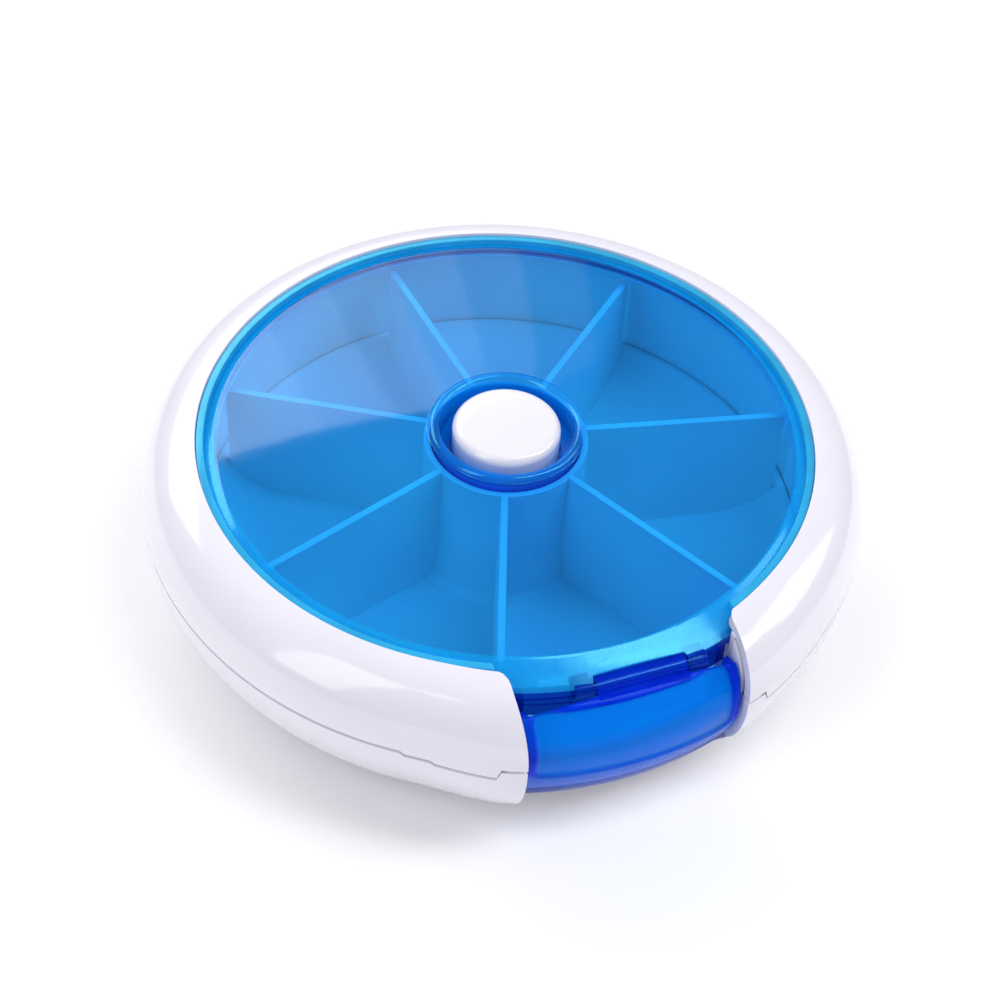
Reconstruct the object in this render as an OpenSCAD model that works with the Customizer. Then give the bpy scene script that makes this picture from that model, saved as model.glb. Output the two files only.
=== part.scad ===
// Round push-button pill organizer: a two-part white casing, a clear cover with a hinged
// dispensing door, and a turning tray of seven compartments that the centre button steps round.
// Origin: centre of the underside. +Z is up and the door faces -Y.

/* [Casing] */
// Diameter of the casing at its parting line
casing_d = 90; // [89.6:0.2:91]
// Height of the window's edge above the table
window_z = 23.2; // [23:0.1:23.6]
// Diameter of the window in the upper shell
window_d = 75.8; // [75.4:0.2:76]
// Wall thickness of the upper shell
upper_wall = 1.4; // [1.3:0.1:1.5]
// Wall thickness of the base shell
base_wall = 1.6; // [1.4:0.1:1.8]
// Height of the parting line above the table
parting_z = 14.9; // [14.7:0.1:15.2]
// Width of the gap in the casing that the door fills
gap_w = 26.6; // [26:0.2:27.2]

/* [Door] */
// Clearance between the door and each end of the casing
door_gap = 0.35; // [0.3:0.05:0.5]
// Wall thickness of the door
door_wall = 1.3; // [1.1:0.1:1.5]
// Diameter of the hinge pin
pin_d = 1.1; // [1:0.05:1.2]
// Diameter of the hinge knuckles
knuckle_d = 2.3; // [2.2:0.05:2.4]

/* [Tray] */
// Number of compartments
compartments = 7; // [7]
// Angle by which the tray stands past the middle of the door
tray_lead = 4.3; // [0:0.1:4.3]
// Thickness of the dividers
divider_t = 1; // [0.8:0.1:1.2]
// Outside radius of the tray's hub
hub_r = 10.2; // [10:0.1:10.4]
// Radius of the tray's floor
floor_r = 37.7; // [37.3:0.1:37.8]

/* [Button] */
// Diameter of the push button
button_d = 13.4; // [13:0.1:13.5]
// Height of the button's top above the table
button_z = 24.15; // [24:0.05:24.3]
// Travel of the button
travel = 3; // [2.6:0.1:3]

/* [Hidden] */
$fn = 96;
eps = 0.01;
// How far a fitting reaches into the wall that it stands on
sink = 0.5;
casing_r = casing_d / 2;
window_r = window_d / 2;
gap_x = gap_w / 2;
flank_r = casing_r - window_r;
flank_z = window_z - flank_r;

// The base is a bowl: a flat bottom that runs into the wall by a quarter circle
bowl_r = 14.4;
bowl_c = casing_r - bowl_r;
step_angle = 35;
step_z = 14.1;
post_x = gap_x + 2.9;
post_z = 15.6;
sill_z = 5.6;
jamb_x = 11.8;
ring_r = 38.1;
ring_t = 1.2;
ring_z = 19.5;
ring_low = 3.6;
notch_r = 6;
foot_ring_r = 24;
foot_recess = 0.4;
boss_r = 12;
boss_z = 2.3;
boss_hole = 4.5;
locator_t = 0.9;
locator_z = 18;
locator_top = 21.2;
hold_r = 38.9;
hold_w = 1.2;
hold_t = 0.5;
lap_z = 13.2;
lap_r = 42.6;
lap_t = 1;
corner_cut = 1.6;
corner_turn = 35;
reach = 60;

// Cover: a thin plate that falls to a bevel, with a well round the button
plate_r = 35.7;
plate_z = 22.6;
collar_z = 23.3;
bevel_r = 39.5;
bevel_z = 20.9;
cover_t = 1.2;
well_r = 8.3;
well_wall = 0.8;
well_z = 20.2;
well_floor = 1;
bead_r = 0.7;

// Door and its hinge
hinge_y = -38.6;
hinge_z = 19.95;
knuckle_r = knuckle_d / 2;
knuckle_x0 = -4;
knuckle_x1 = 7.1;
lug_w = 2.3;
lug_gap = 0.15;
lug_top = 21.1;
lug_depth = 1.6;
pin_short = 0.3;
door_x = gap_x - door_gap;
door_low_z = 6.3;
door_top_c = 38.6;
door_r = casing_r - 0.5;
door_edge_r = 40.15;
door_swing_r = 1.6;
pane_x = 11.9;
pane_z0 = 11.6;
pane_z1 = 19.4;
pane_depth = 0.35;
pane_corner = 1.1;
door_side = 1.2;
knuckle_web_y = -40.6;
knuckle_web_z = 18.9;

// Tray
step = 360 / compartments;
tray_low = 2.8;
tray_floor = 3.9;
scoop_c = 29;
scoop_r = 10.4;
hub_bore = 9.4;
divider_r = 36.3;
divider_z0 = 21.7;
divider_z1 = 20.05;
pivot_r = 5;
pivot_gap = 0.08;
pivot_top = 4;
hub_foot_z = 10;
scoop_top = 7.9;
groove_r = 15;
groove_w = 2;
groove_depth = 0.4;
washer_r = 11.6;
tooth_tip = 9.25;
tooth_angle = 22;
teeth_z = 8.5;
foot_r = 11.2;

// Drive
post_r = 2.6;
post_top = 14;
key_w = 0.8;
key_l = 6.4;
slide_gap = 0.1;
sleeve_r = 4.2;
sleeve_low = 9.6;
sleeve_top = 21.6;
socket_z = 19;
button_flange_r = 7.9;
peg_r = 0.9;
peg_z = 10.6;
peg_l = 7.7;
peg_gap = 0.15;
key_gap = 0.15;
rotor_in = 5.5;
rotor_r = 7.9;
rotor_low = 4.1;
rotor_top = 11.9;
flange_r = 8.9;
slot_steps = 12;
retainer_r = 8.3;
pawl_z = 5;
pawl_h = 3;
pawl_r = 8.15;
pawl_t = 0.45;
pawl_tip = 0.95;
pawl_span = 35;
pawl_root = 5;
spring_in = 13;
spring_out = 14.6;
arm_in = 15.4;
arm_out = 16.6;
arm_root = [26, 34];
arm_start = -3;
arm_end = 30;
spring_t = 0.5;
detent_r = 0.5;
detent_c = 16;
drive_steps = [0, 3, 5];

// ---- shared shapes ----

module tube(r_out, r_in, z0, z1) {
    translate([0, 0, z0]) difference() {
        cylinder(r = r_out, h = z1 - z0);
        translate([0, 0, -1]) cylinder(r = r_in, h = z1 - z0 + 2);
    }
}

// A section turned about Z between two angles measured from the middle of the door
module door_sector(a0, a1) {
    rotate([0, 0, -90 + a0]) rotate_extrude(angle = a1 - a0) children();
}

// A block in front of the axis, from x0 to x1 and from z0 to z1
module front_block(x0, x1, z0, z1, y0 = -reach, y1 = 0) {
    translate([x0, y0, z0]) cube([x1 - x0, y1 - y0, z1 - z0]);
}

// Section of a bowl of the given radius about the base's centre, above z0 and below z1
module bowl_section(radius, z0, z1) {
    intersection() {
        translate([bowl_c, bowl_r]) circle(r = radius);
        translate([bowl_c, z0]) square([bowl_r + 1, min(z1, bowl_r) - z0]);
    }
    if (z1 > bowl_r) translate([bowl_c, bowl_r]) square([radius, z1 - bowl_r]);
}

// ---- casing ----

// Outer wall of the base between two heights
module base_wall_section(z0, z1) {
    difference() {
        bowl_section(bowl_r, z0, z1);
        bowl_section(bowl_r - base_wall, z0 - 1, z1 + 1);
    }
}

module base_section() {
    base_wall_section(0, parting_z);
    square([bowl_c, base_wall]);
    translate([ring_r, ring_low]) square([ring_t, ring_z - ring_low]);
}

// The wall stands lower beside the door, where the upper shell comes down over it
module base_step() {
    door_sector(-step_angle, step_angle) translate([lap_r, step_z]) square([casing_r, parting_z]);
}

module corner_posts() {
    intersection() {
        rotate_extrude() base_wall_section(step_z - 1, post_z);
        union() for (side = [-1, 1])
            front_block(side < 0 ? -post_x : gap_x, side < 0 ? -gap_x : post_x, 0, post_z);
    }
}

module base_shell() {
    color("whitesmoke") {
        difference() {
            rotate_extrude() base_section();
            base_step();
            // rebate for the upper shell's tongue
            tube(lap_r + lap_t + 0.1, lap_r - 0.5, lap_z, parting_z + 1);
            // door gap, dispensing mouth and finger notch
            difference() {
                front_block(-gap_x, gap_x, sill_z, window_z);
                cylinder(r = ring_r + ring_t, h = reach);
            }
            front_block(-jamb_x, jamb_x, sill_z, window_z, -reach, -20);
            translate([0, -casing_r - 1.5, 0]) cylinder(r = notch_r, h = sill_z + 1);
            // shallow recess under the base, which leaves a resting ring
            translate([0, 0, -1]) cylinder(r = foot_ring_r, h = foot_recess + 1);
        }
        corner_posts();
        tube(boss_r, boss_hole, base_wall - sink, boss_z);
        tube(pivot_r, boss_hole, base_wall - sink, pivot_top);
        translate([0, 0, base_wall - sink]) cylinder(r = post_r, h = post_top - base_wall);
        translate([-key_l / 2, -key_w / 2, base_wall - sink]) cube([key_l, key_w, post_top - base_wall]);
    }
}

// The upper shell: a quarter-round flank that ends in the window's lip
module upper_section() {
    difference() {
        union() {
            intersection() {
                translate([window_r, flank_z]) circle(r = flank_r);
                translate([window_r, flank_z]) square(flank_r + 1);
            }
            translate([window_r, parting_z]) square([flank_r, flank_z - parting_z]);
        }
        translate([window_r, flank_z]) circle(r = flank_r - upper_wall);
        translate([window_r - 1, parting_z - 1]) square([flank_r - upper_wall + 1, flank_z - parting_z + 1]);
    }
    // locating wall round the cover, and the rib that holds it down
    translate([bevel_r + 0.05, locator_z]) square([locator_t, locator_top - locator_z]);
    translate([hold_r, locator_top]) square([hold_w, hold_t]);
    // tongue inside the base's wall
    translate([lap_r, lap_z]) square([lap_t, flank_z - lap_z + 0.4]);
}

// Beside the door the upper shell comes down over the base
module upper_step() {
    door_sector(-step_angle, step_angle) base_wall_section(step_z, parting_z);
}

// Takes off the corner where the window meets the door gap
module corner_relief() {
    corner_y = -sqrt(window_r * window_r - gap_x * gap_x);
    translate([gap_x, corner_y, reach / 2]) rotate([0, 0, corner_turn])
        cube([corner_cut, corner_cut, reach], center = true);
}

module upper_shell() {
    color("white") difference() {
        union() {
            rotate_extrude() upper_section();
            upper_step();
        }
        front_block(-gap_x, gap_x, -1, reach);
        for (side = [0, 1]) mirror([side, 0, 0]) corner_relief();
        for (side = [0, 1]) mirror([side, 0, 0]) front_block(gap_x - 1, post_x, 0, post_z);
    }
}

// ---- cover ----

module cover_section() {
    fall = (plate_z - bevel_z) / (bevel_r - plate_r);
    under = cover_t + 0.1;
    polygon([[9, collar_z - cover_t], [9, collar_z], [plate_r, plate_z], [bevel_r, bevel_z],
             [bevel_r, ring_z + 0.02], [bevel_r - cover_t, ring_z + 0.02],
             [bevel_r - cover_t, bevel_z - under + fall * cover_t], [plate_r - 0.3, plate_z - cover_t]]);
    translate([well_r + bead_r, collar_z - 0.05]) circle(r = bead_r);
    translate([well_r, well_z - well_floor]) square([well_wall, collar_z - well_z + well_floor]);
    translate([button_d / 2 + 0.15, well_z - well_floor])
        square([well_r + well_wall - button_d / 2 - 0.15, well_floor]);
}

module hinge_cylinder(x0, x1, r) {
    translate([x0, hinge_y, hinge_z]) rotate([0, 90, 0]) cylinder(r = r, h = x1 - x0);
}

// A cover lug: a knuckle with a web that ties it to the bevel above
module lug(x0) {
    hinge_cylinder(x0, x0 + lug_w, knuckle_r);
    front_block(x0, x0 + lug_w, hinge_z, lug_top, hinge_y, hinge_y + lug_depth);
}

module cover() {
    color([0.30, 0.68, 0.95, 0.45]) difference() {
        union() {
            difference() {
                rotate_extrude() cover_section();
                front_block(-gap_x, gap_x, ring_z - 1, bevel_z - cover_t, -reach, -30);
                front_block(knuckle_x0 - lug_gap, knuckle_x1 + lug_gap, ring_z - 1, window_z,
                            -reach, hinge_y + 0.5);
                hinge_cylinder(knuckle_x0 - lug_gap, knuckle_x1 + lug_gap, knuckle_r + 0.25);
            }
            lug(knuckle_x0 - lug_gap - lug_w);
            lug(knuckle_x1 + lug_gap);
        }
        hinge_cylinder(knuckle_x0 - 10, knuckle_x1 + 10, pin_d / 2);
    }
}

// ---- door ----

// Section of the door's envelope, taken in by the given depth
module door_section(inset) {
    intersection() {
        translate([door_top_c, bowl_r]) circle(r = door_r - door_top_c - inset);
        translate([door_top_c - eps, bowl_r - eps]) square(20);
    }
    intersection() {
        translate([bowl_c, bowl_r]) circle(r = door_r - bowl_c - inset);
        translate([door_top_c - eps, 0]) square([20, bowl_r]);
    }
}

// A plate with round corners, standing across the door
module pane_outline(grow) {
    x = pane_x + grow;
    z0 = pane_z0 - grow;
    z1 = pane_z1 + grow;
    r = pane_corner;
    translate([0, -30, 0]) rotate([90, 0, 0]) linear_extrude(height = 20) {
        translate([-x, z0 + r]) square([2 * x, z1 - z0 - 2 * r]);
        translate([-x + r, z0]) square([2 * (x - r), z1 - z0]);
        for (px = [-x + r, x - r]) for (pz = [z0 + r, z1 - r]) translate([px, pz]) circle(r = r);
    }
}

module door() {
    color([0.08, 0.40, 0.92, 0.6]) difference() {
        union() {
            difference() {
                intersection() {
                    door_sector(-25, 25) door_section(0);
                    front_block(-door_x, door_x, door_low_z, reach);
                }
                // hollow of the door, with a frame all round it
                intersection() {
                    door_sector(-25, 25) door_section(door_wall);
                    front_block(-door_x + door_side, door_x - door_side, door_low_z + door_wall, reach);
                }
                cylinder(r = door_edge_r - 0.25, h = bowl_r);
                translate([0, 0, bowl_r - eps]) cylinder(r = door_edge_r, h = reach);
                hinge_cylinder(-20, 20, door_swing_r);
                // shallow panel in the outer face
                intersection() {
                    difference() {
                        door_sector(-25, 25) door_section(-1);
                        door_sector(-25, 25) door_section(pane_depth);
                    }
                    pane_outline(0);
                }
            }
            hinge_cylinder(knuckle_x0, knuckle_x1, knuckle_r);
            front_block(knuckle_x0, knuckle_x1, knuckle_web_z, hinge_z + 0.1, knuckle_web_y, hinge_y);
        }
        hinge_cylinder(knuckle_x0 - 1, knuckle_x1 + 1, pin_d / 2 + 0.07);
    }
}

module door_hinge_pin() {
    lug_end = lug_gap + lug_w - pin_short;
    color("silver") hinge_cylinder(knuckle_x0 - lug_end, knuckle_x1 + lug_end, pin_d / 2);
}

// ---- tray ----

module tray_section() {
    // floor, which turns up into a scoop at its edge
    difference() {
        union() {
            translate([pivot_r + pivot_gap, tray_low])
                square([scoop_c - pivot_r - pivot_gap, tray_floor - tray_low]);
            intersection() {
                translate([scoop_c, tray_floor + scoop_r]) circle(r = scoop_r + tray_floor - tray_low);
                translate([scoop_c - eps, 0]) square([floor_r - scoop_c + eps, scoop_top]);
            }
        }
        translate([scoop_c, tray_floor + scoop_r]) circle(r = scoop_r);
    }
    // hub, wider at its foot
    polygon([[hub_bore, tray_low], [foot_r, tray_low], [hub_r, hub_foot_z], [hub_r, divider_z0 - 0.1],
             [hub_bore, divider_z0 - 0.1]]);
}

module divider() {
    x0 = hub_r - 0.4;
    rotate([90, 0, 0]) translate([0, 0, -divider_t / 2]) linear_extrude(height = divider_t)
        polygon([[x0, tray_low + 0.2], [scoop_c, tray_low + 0.2], [divider_r, 6], [divider_r, divider_z1],
                 [x0, divider_z0]]);
}

// One saw tooth of the ratchet inside the hub
module ratchet_tooth() {
    root = hub_bore + 0.3;
    translate([0, 0, tray_low + 0.5]) linear_extrude(height = teeth_z - tray_low - 0.5) difference() {
        polygon([[0, 0], [root, 0], root * [cos(tooth_angle), sin(tooth_angle)]]);
        circle(r = tooth_tip);
    }
}

module tray() {
    color([0.80, 0.90, 0.98]) rotate([0, 0, 90 + tray_lead]) difference() {
        union() {
            rotate_extrude() tray_section();
            for (i = [0 : compartments - 1]) rotate([0, 0, i * step]) divider();
            for (i = [0 : compartments - 1]) rotate([0, 0, i * step]) ratchet_tooth();
        }
        // index grooves in the underside
        for (i = [0 : compartments - 1]) rotate([0, 0, i * step])
            translate([groove_r, -groove_w / 2, tray_low - 1]) cube([groove_w, groove_w, groove_depth + 1]);
    }
}

module rotor_retaining_ring() {
    color("gainsboro") tube(hub_bore, retainer_r, rotor_top + 0.1, rotor_top + 1);
}

// ---- base fittings ----

module bearing_washer() {
    color("lightgray") tube(washer_r, pivot_r + 0.15, boss_z, tray_low - 0.05);
}

// A flat band between two radii and two angles
module arc_band(r0, r1, a0, a1) {
    intersection() {
        difference() {
            circle(r = r1);
            circle(r = r0);
        }
        polygon([[0, 0], reach * [cos(a0), sin(a0)], reach * [cos(a1), sin(a1)]]);
    }
}

module index_spring() {
    color("gainsboro") {
        translate([0, 0, base_wall]) linear_extrude(height = spring_t) {
            for (a = [0, 120, 240]) arc_band(spring_in, spring_out, a, a + 120);
            for (i = drive_steps) rotate([0, 0, 90 + tray_lead + i * step]) {
                arc_band(spring_out - 0.2, arm_out, arm_root[0], arm_root[1]);
                arc_band(arm_in, arm_out, arm_start, arm_end);
            }
        }
        for (i = drive_steps) rotate([0, 0, 90 + tray_lead + i * step])
            translate([detent_c, 0, base_wall + spring_t - 0.2])
                cylinder(r = detent_r, h = tray_low - base_wall - spring_t + 0.15);
    }
}

// ---- drive ----

// Part of a pawl: a band between two angles and two radii
module pawl_band(a0, a1, r0, r1) {
    rotate([0, 0, a0]) rotate_extrude(angle = a1 - a0) translate([r0, pawl_z]) square([r1 - r0, pawl_h]);
}

module drive_rotor() {
    color("orange") difference() {
        union() {
            tube(rotor_r, rotor_in, rotor_low, rotor_top);
            tube(flange_r, rotor_in, rotor_top - 0.9, rotor_top);
            for (i = drive_steps) rotate([0, 0, 90 + tray_lead + i * step - 6]) {
                pawl_band(0, pawl_root, rotor_r - 0.2, pawl_r + pawl_t - 0.1);
                pawl_band(-pawl_span, pawl_root, pawl_r, pawl_r + pawl_t);
                pawl_band(-pawl_span, pawl_root - pawl_span, pawl_r, pawl_r + pawl_tip);
            }
        }
        // helical slots, each swept by its peg as the button goes down
        for (i = [0 : 2]) for (s = [0 : slot_steps])
            rotate([0, 0, i * 120 - step * s / slot_steps])
                translate([0, 0, peg_z - travel * s / slot_steps])
                    rotate([0, 90, 0]) cylinder(r = peg_r + peg_gap, h = rotor_r + 0.1);
    }
}

module plunger() {
    bore_h = post_top + travel + 2 - sleeve_low;
    color("lightsteelblue") difference() {
        union() {
            translate([0, 0, sleeve_low]) cylinder(r = sleeve_r, h = sleeve_top - sleeve_low);
            for (i = [0 : 2]) rotate([0, 0, i * 120])
                translate([sleeve_r - sink, 0, peg_z]) rotate([0, 90, 0])
                    cylinder(r = peg_r, h = peg_l - sleeve_r + sink);
        }
        translate([0, 0, sleeve_low - 1]) cylinder(r = post_r + slide_gap, h = bore_h);
        translate([-key_l / 2 - key_gap, -key_w / 2 - key_gap, sleeve_low - 1])
            cube([key_l + 2 * key_gap, key_w + 2 * key_gap, bore_h]);
    }
}

module button_section() {
    flange_z = well_z - well_floor - 0.05;
    edge = 1.1;
    wall = 1.2;
    crown_low = button_z - 1.5;
    difference() {
        union() {
            square([button_d / 2 - edge, button_z]);
            square([button_d / 2, button_z - edge]);
            translate([button_d / 2 - edge, button_z - edge]) circle(r = edge);
            square([button_flange_r, flange_z]);
        }
        square([button_d / 2 + 2, flange_z - wall]);
        square([button_d / 2 - wall, crown_low]);
    }
    // socket on the plunger's head
    translate([sleeve_r, socket_z]) square([1, crown_low - socket_z + eps]);
}

module button_cap() {
    color("white") rotate_extrude() button_section();
}

// ---- return spring: a round wire swept along a helix ----

wire_r = 0.25;
coil_r = 3.85;
coil_turns = 5.5;
coil_rings = 66;
coil_sides = 6;
coil_z0 = base_wall + wire_r;
coil_z1 = sleeve_low - wire_r;

function coil_point(t) = [coil_r * cos(360 * coil_turns * t), coil_r * sin(360 * coil_turns * t),
                          coil_z0 + (coil_z1 - coil_z0) * t];
function ring_point(t, a) = let (q = 360 * coil_turns * t)
    coil_point(t) + wire_r * [cos(a) * cos(q), cos(a) * sin(q), sin(a)];

module return_spring() {
    points = [for (i = [0 : coil_rings]) for (k = [0 : coil_sides - 1])
              ring_point(i / coil_rings, 360 * k / coil_sides)];
    sides = [for (i = [0 : coil_rings - 1]) for (k = [0 : coil_sides - 1])
             let (a = i * coil_sides + k, b = i * coil_sides + (k + 1) % coil_sides)
             [a, a + coil_sides, b + coil_sides, b]];
    first = [for (k = [0 : coil_sides - 1]) k];
    last = [for (k = [coil_sides - 1 : -1 : 0]) coil_rings * coil_sides + k];
    color("silver") polyhedron(points = points, faces = concat([first], sides, [last]));
}

base_shell();
upper_shell();
cover();
door();
door_hinge_pin();
tray();
bearing_washer();
index_spring();
drive_rotor();
rotor_retaining_ring();
plunger();
button_cap();
return_spring();
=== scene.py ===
"""The looks of a round push-button pill organizer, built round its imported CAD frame.

Lengths are in millimetres until a mesh is made. An outline is a list of (r, z) points: r from the
axis of the button, z above the table. Angles round the axis start at the middle of the door.
"""
import math

import bmesh
import bpy
from mathutils import Matrix, Vector


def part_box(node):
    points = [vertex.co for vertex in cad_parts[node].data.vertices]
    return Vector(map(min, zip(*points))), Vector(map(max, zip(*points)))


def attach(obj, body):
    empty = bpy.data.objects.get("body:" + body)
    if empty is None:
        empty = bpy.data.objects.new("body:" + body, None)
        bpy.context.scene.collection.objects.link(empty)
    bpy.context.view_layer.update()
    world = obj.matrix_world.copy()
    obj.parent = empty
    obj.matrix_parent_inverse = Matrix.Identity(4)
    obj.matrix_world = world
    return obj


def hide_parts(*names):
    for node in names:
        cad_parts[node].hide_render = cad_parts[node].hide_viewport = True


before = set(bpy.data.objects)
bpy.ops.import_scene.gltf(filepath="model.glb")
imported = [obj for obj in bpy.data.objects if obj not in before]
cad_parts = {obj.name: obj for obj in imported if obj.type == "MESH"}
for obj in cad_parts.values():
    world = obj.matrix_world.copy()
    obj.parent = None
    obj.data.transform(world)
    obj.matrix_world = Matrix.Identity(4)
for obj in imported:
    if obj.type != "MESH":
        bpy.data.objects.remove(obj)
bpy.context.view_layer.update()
MM = 0.001


def node_low(node):
    """Lowest corner of a CAD node, in millimetres."""
    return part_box(node)[0] / MM


def node_high(node):
    """Highest corner of a CAD node, in millimetres."""
    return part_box(node)[1] / MM


# ---- sizes ----
# R is a radius, Z a height, and C the radius at which an arc is centred; X and Y are places.

# from the CAD
CASING_R = node_high("upper_shell").x
WINDOW_Z = node_high("upper_shell").z
BUTTON_Z = node_high("button_cap").z
DOOR_X = node_high("door").x
DOOR_Z = node_low("door").z
GAP_X = DOOR_X + 0.35
GAP_NEAR_R = 20.0

# the casing; STEPS holds (angle in degrees, height of the parting line nearer the door than that)
WINDOW_R = CASING_R - 7.1
FLANK_R = CASING_R - WINDOW_R
FLANK_Z = WINDOW_Z - FLANK_R
UPPER_WALL = 1.4
BASE_WALL = 1.6
PARTING_Z = 14.9
PARTING_GAP = 0.42
STEPS = ((21.1, 15.6), (30.5, 14.1), (35.0, 14.45))
STEP_RAMP = 0.6
BOWL_R = 14.4
BOWL_C = CASING_R - BOWL_R
SILL_Z = 5.6
JAMB_X = 11.8
RING_R = 38.1
RING_WALL = 1.2
RING_Z = 19.5
CORNER_R = 1.9
SHELL_PLAY = 0.06
FOLD_Z = 11.0
RECESS_R = 24.0
RECESS_Z = 0.4
# inner radius, outer radius, lower height and upper height
TONGUE = (42.3, 43.3, 13.2, 17.0)
LOCATOR = (39.55, 40.45, 18.0, 21.6)
POST_R = 2.6
BOSS_R = (4.5, 12.0)
# the swelling beside the door: its depth on each side, its angle and where it fades in
FLARE_LEFT = 1.5
FLARE_RIGHT = 0.5
FLARE_SPAN = math.radians(17)
FLARE_END = 1.3
FLARE_R = (36.0, 41.0)

# the cover, and its apron over the slit above the door
PLATE_R = 35.7
PLATE_Z = 22.6
COLLAR_Z = 23.3
BEVEL_R = 39.5
BEVEL_Z = 20.9
BEVEL_FALL = (PLATE_Z - BEVEL_Z) / (BEVEL_R - PLATE_R)
SKIRT_Z = 19.2
COVER_HOLD_R = 34.0
COVER_SPACING = 1.4
APRON_X = 12.9
APRON_Z = 16.9
APRON_T = 0.18
APRON_STEP_Z = 18.7
# inner radius, outer radius and height of the raised ring on the bevel
RIM = (36.95, 37.85, 22.85)
COVER_T = 1.2
WELL_R = 8.3
WELL_WALL = 0.8
WELL_Z = 20.2
HOLE_R = 6.85
BEAD_R = 0.7

# the door's hinge; SWING_R is the radius round its axis that the door keeps clear of
HINGE_Y = -38.6
HINGE_Z = 19.95
KNUCKLE_R = 1.15
KNUCKLE_X = (-4.0, 7.1)
LUG_W = 2.3
LUG_GAP = 0.15
LUG_REACH = LUG_GAP + LUG_W
PIN_R = 0.55
SWING_R = 1.42

# the door and its panel
DOOR_R = CASING_R - 0.5
DOOR_TOP_C = 38.6
DOOR_TOP_Z = 20.05
DOOR_WALL = 1.3
DOOR_SIDE = 1.2
DOOR_EDGE_R = 40.15
DOOR_EDGE_T = 0.1
DOOR_INNER_TOP_Z = 18.7
PANE_X = 11.9
PANE_Z = (11.6, 19.4)
PANE_LINE_Z = 17.8
PANE_DEPTH = 0.35
PANE_STEP = 0.15
PANE_CORNER = 1.1

# the tray
COMPARTMENTS = 7
TRAY_LEAD = math.radians(4.3)
TRAY_LOW = node_low("tray").z
TRAY_FLOOR = TRAY_LOW + 1.1
HUB_R = 10.2
HUB_BORE = 9.4
HUB_TOP = node_high("tray").z - 0.1
FOOT_R = 11.2
TRAY_BORE = 5.08
SCOOP_C = 29.0
SCOOP_R = 10.4
FLOOR_R = 37.95
DIVIDER_R = 36.3
DIVIDER_T = 1.0
DIVIDER_OUT_Z = 20.05

# the button and its spring
BUTTON_R = 6.7
BUTTON_EDGE = 1.1
BUTTON_BORE = 5.5
FLANGE_R = 7.9
FLANGE_T = 1.2
COIL_WIRE = 0.25
COIL_R = 3.85
COIL_TURNS = 5.5
COIL_POINTS = 28

# half the floor's side, the size of the plastic's grain, and the angle up to which shading is smooth
FLOOR_HALF = 430
GRAIN = 0.35
SMOOTH_ANGLE = math.radians(50)


# ---- mesh building ----

def arc(r, z, radius, start, end, steps=8):
    """Points along an arc about (r, z), from one angle in degrees to another."""
    angles = (math.radians(start + (end - start) * i / steps) for i in range(steps + 1))
    return [(r + radius * math.cos(a), z + radius * math.sin(a)) for a in angles]


def round_about(angle, r, z):
    """A point at an angle from the middle of the door, positive towards +X."""
    return Vector((r * math.sin(angle), -r * math.cos(angle), z))


def smooth(t):
    """0 below 0, 1 above 1, and a smooth rise between."""
    t = min(max(t, 0.0), 1.0)
    return t * t * (3 - 2 * t)


def make_object(name, bm, edge=0.0, crease=34):
    """Turns a bmesh in millimetres into an object, with its sharp edges rounded by edge."""
    bmesh.ops.remove_doubles(bm, verts=bm.verts, dist=1e-4)
    bmesh.ops.recalc_face_normals(bm, faces=bm.faces)
    if edge:
        sharp = [e for e in bm.edges
                 if len(e.link_faces) == 2 and e.calc_face_angle(0) > math.radians(crease)]
        bmesh.ops.bevel(bm, geom=sharp, offset=edge, segments=2, profile=0.6, affect="EDGES",
                        clamp_overlap=True)
    loose = [vert for vert in bm.verts if not vert.link_faces]
    bmesh.ops.delete(bm, geom=loose, context="VERTS")
    bmesh.ops.scale(bm, vec=(MM, MM, MM), verts=bm.verts)
    mesh = bpy.data.meshes.new(name)
    bm.to_mesh(mesh)
    bm.free()
    for face in mesh.polygons:
        face.use_smooth = True
    mesh.set_sharp_from_angle(angle=SMOOTH_ANGLE)
    piece = bpy.data.objects.new(name, mesh)
    bpy.context.scene.collection.objects.link(piece)
    weighted = piece.modifiers.new("Even shading", "WEIGHTED_NORMAL")
    weighted.keep_sharp = True
    return piece


def sweep(bm, outline, columns, place, ring=True, closed=True, opening=None):
    """Sweeps an outline through columns. place(column, r, z) gives each point.

    ring joins the last column to the first; otherwise both ends are capped. opening is
    (first column, last column, first row, last row) of a part left out and closed all round.
    """
    grid = [[bm.verts.new(place(column, r, z)) for r, z in outline] for column in columns]
    rows = len(outline) if closed else len(outline) - 1
    for j in range(len(columns) if ring else len(columns) - 1):
        here, there = grid[j], grid[(j + 1) % len(columns)]
        cut = opening is not None and opening[0] <= j < opening[1]
        for i in range(rows):
            k = (i + 1) % len(outline)
            if not (cut and opening[2] <= i < opening[3]):
                bm.faces.new((here[i], here[k], there[k], there[i]))
        if cut:
            low, high = opening[2:]
            bm.faces.new((here[low], here[high], there[high], there[low]))
    if opening is not None:
        for j in opening[:2]:
            bm.faces.new(grid[j][opening[2]:opening[3] + 1])
    if not ring:
        bm.faces.new(grid[0])
        bm.faces.new(grid[-1])


def skin(bm, rings):
    """Joins closed rings of points, each to the next, and caps the first and the last."""
    for here, there in zip(rings, rings[1:]):
        for i in range(len(here)):
            k = (i + 1) % len(here)
            bm.faces.new((here[i], here[k], there[k], there[i]))
    bm.faces.new(rings[0])
    bm.faces.new(rings[-1])


def lathe(bm, outline, segments=128, closed=True):
    """Turns an outline all the way round the axis."""
    columns = [2 * math.pi * j / segments for j in range(segments)]
    sweep(bm, outline, columns, round_about, closed=closed)


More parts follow.
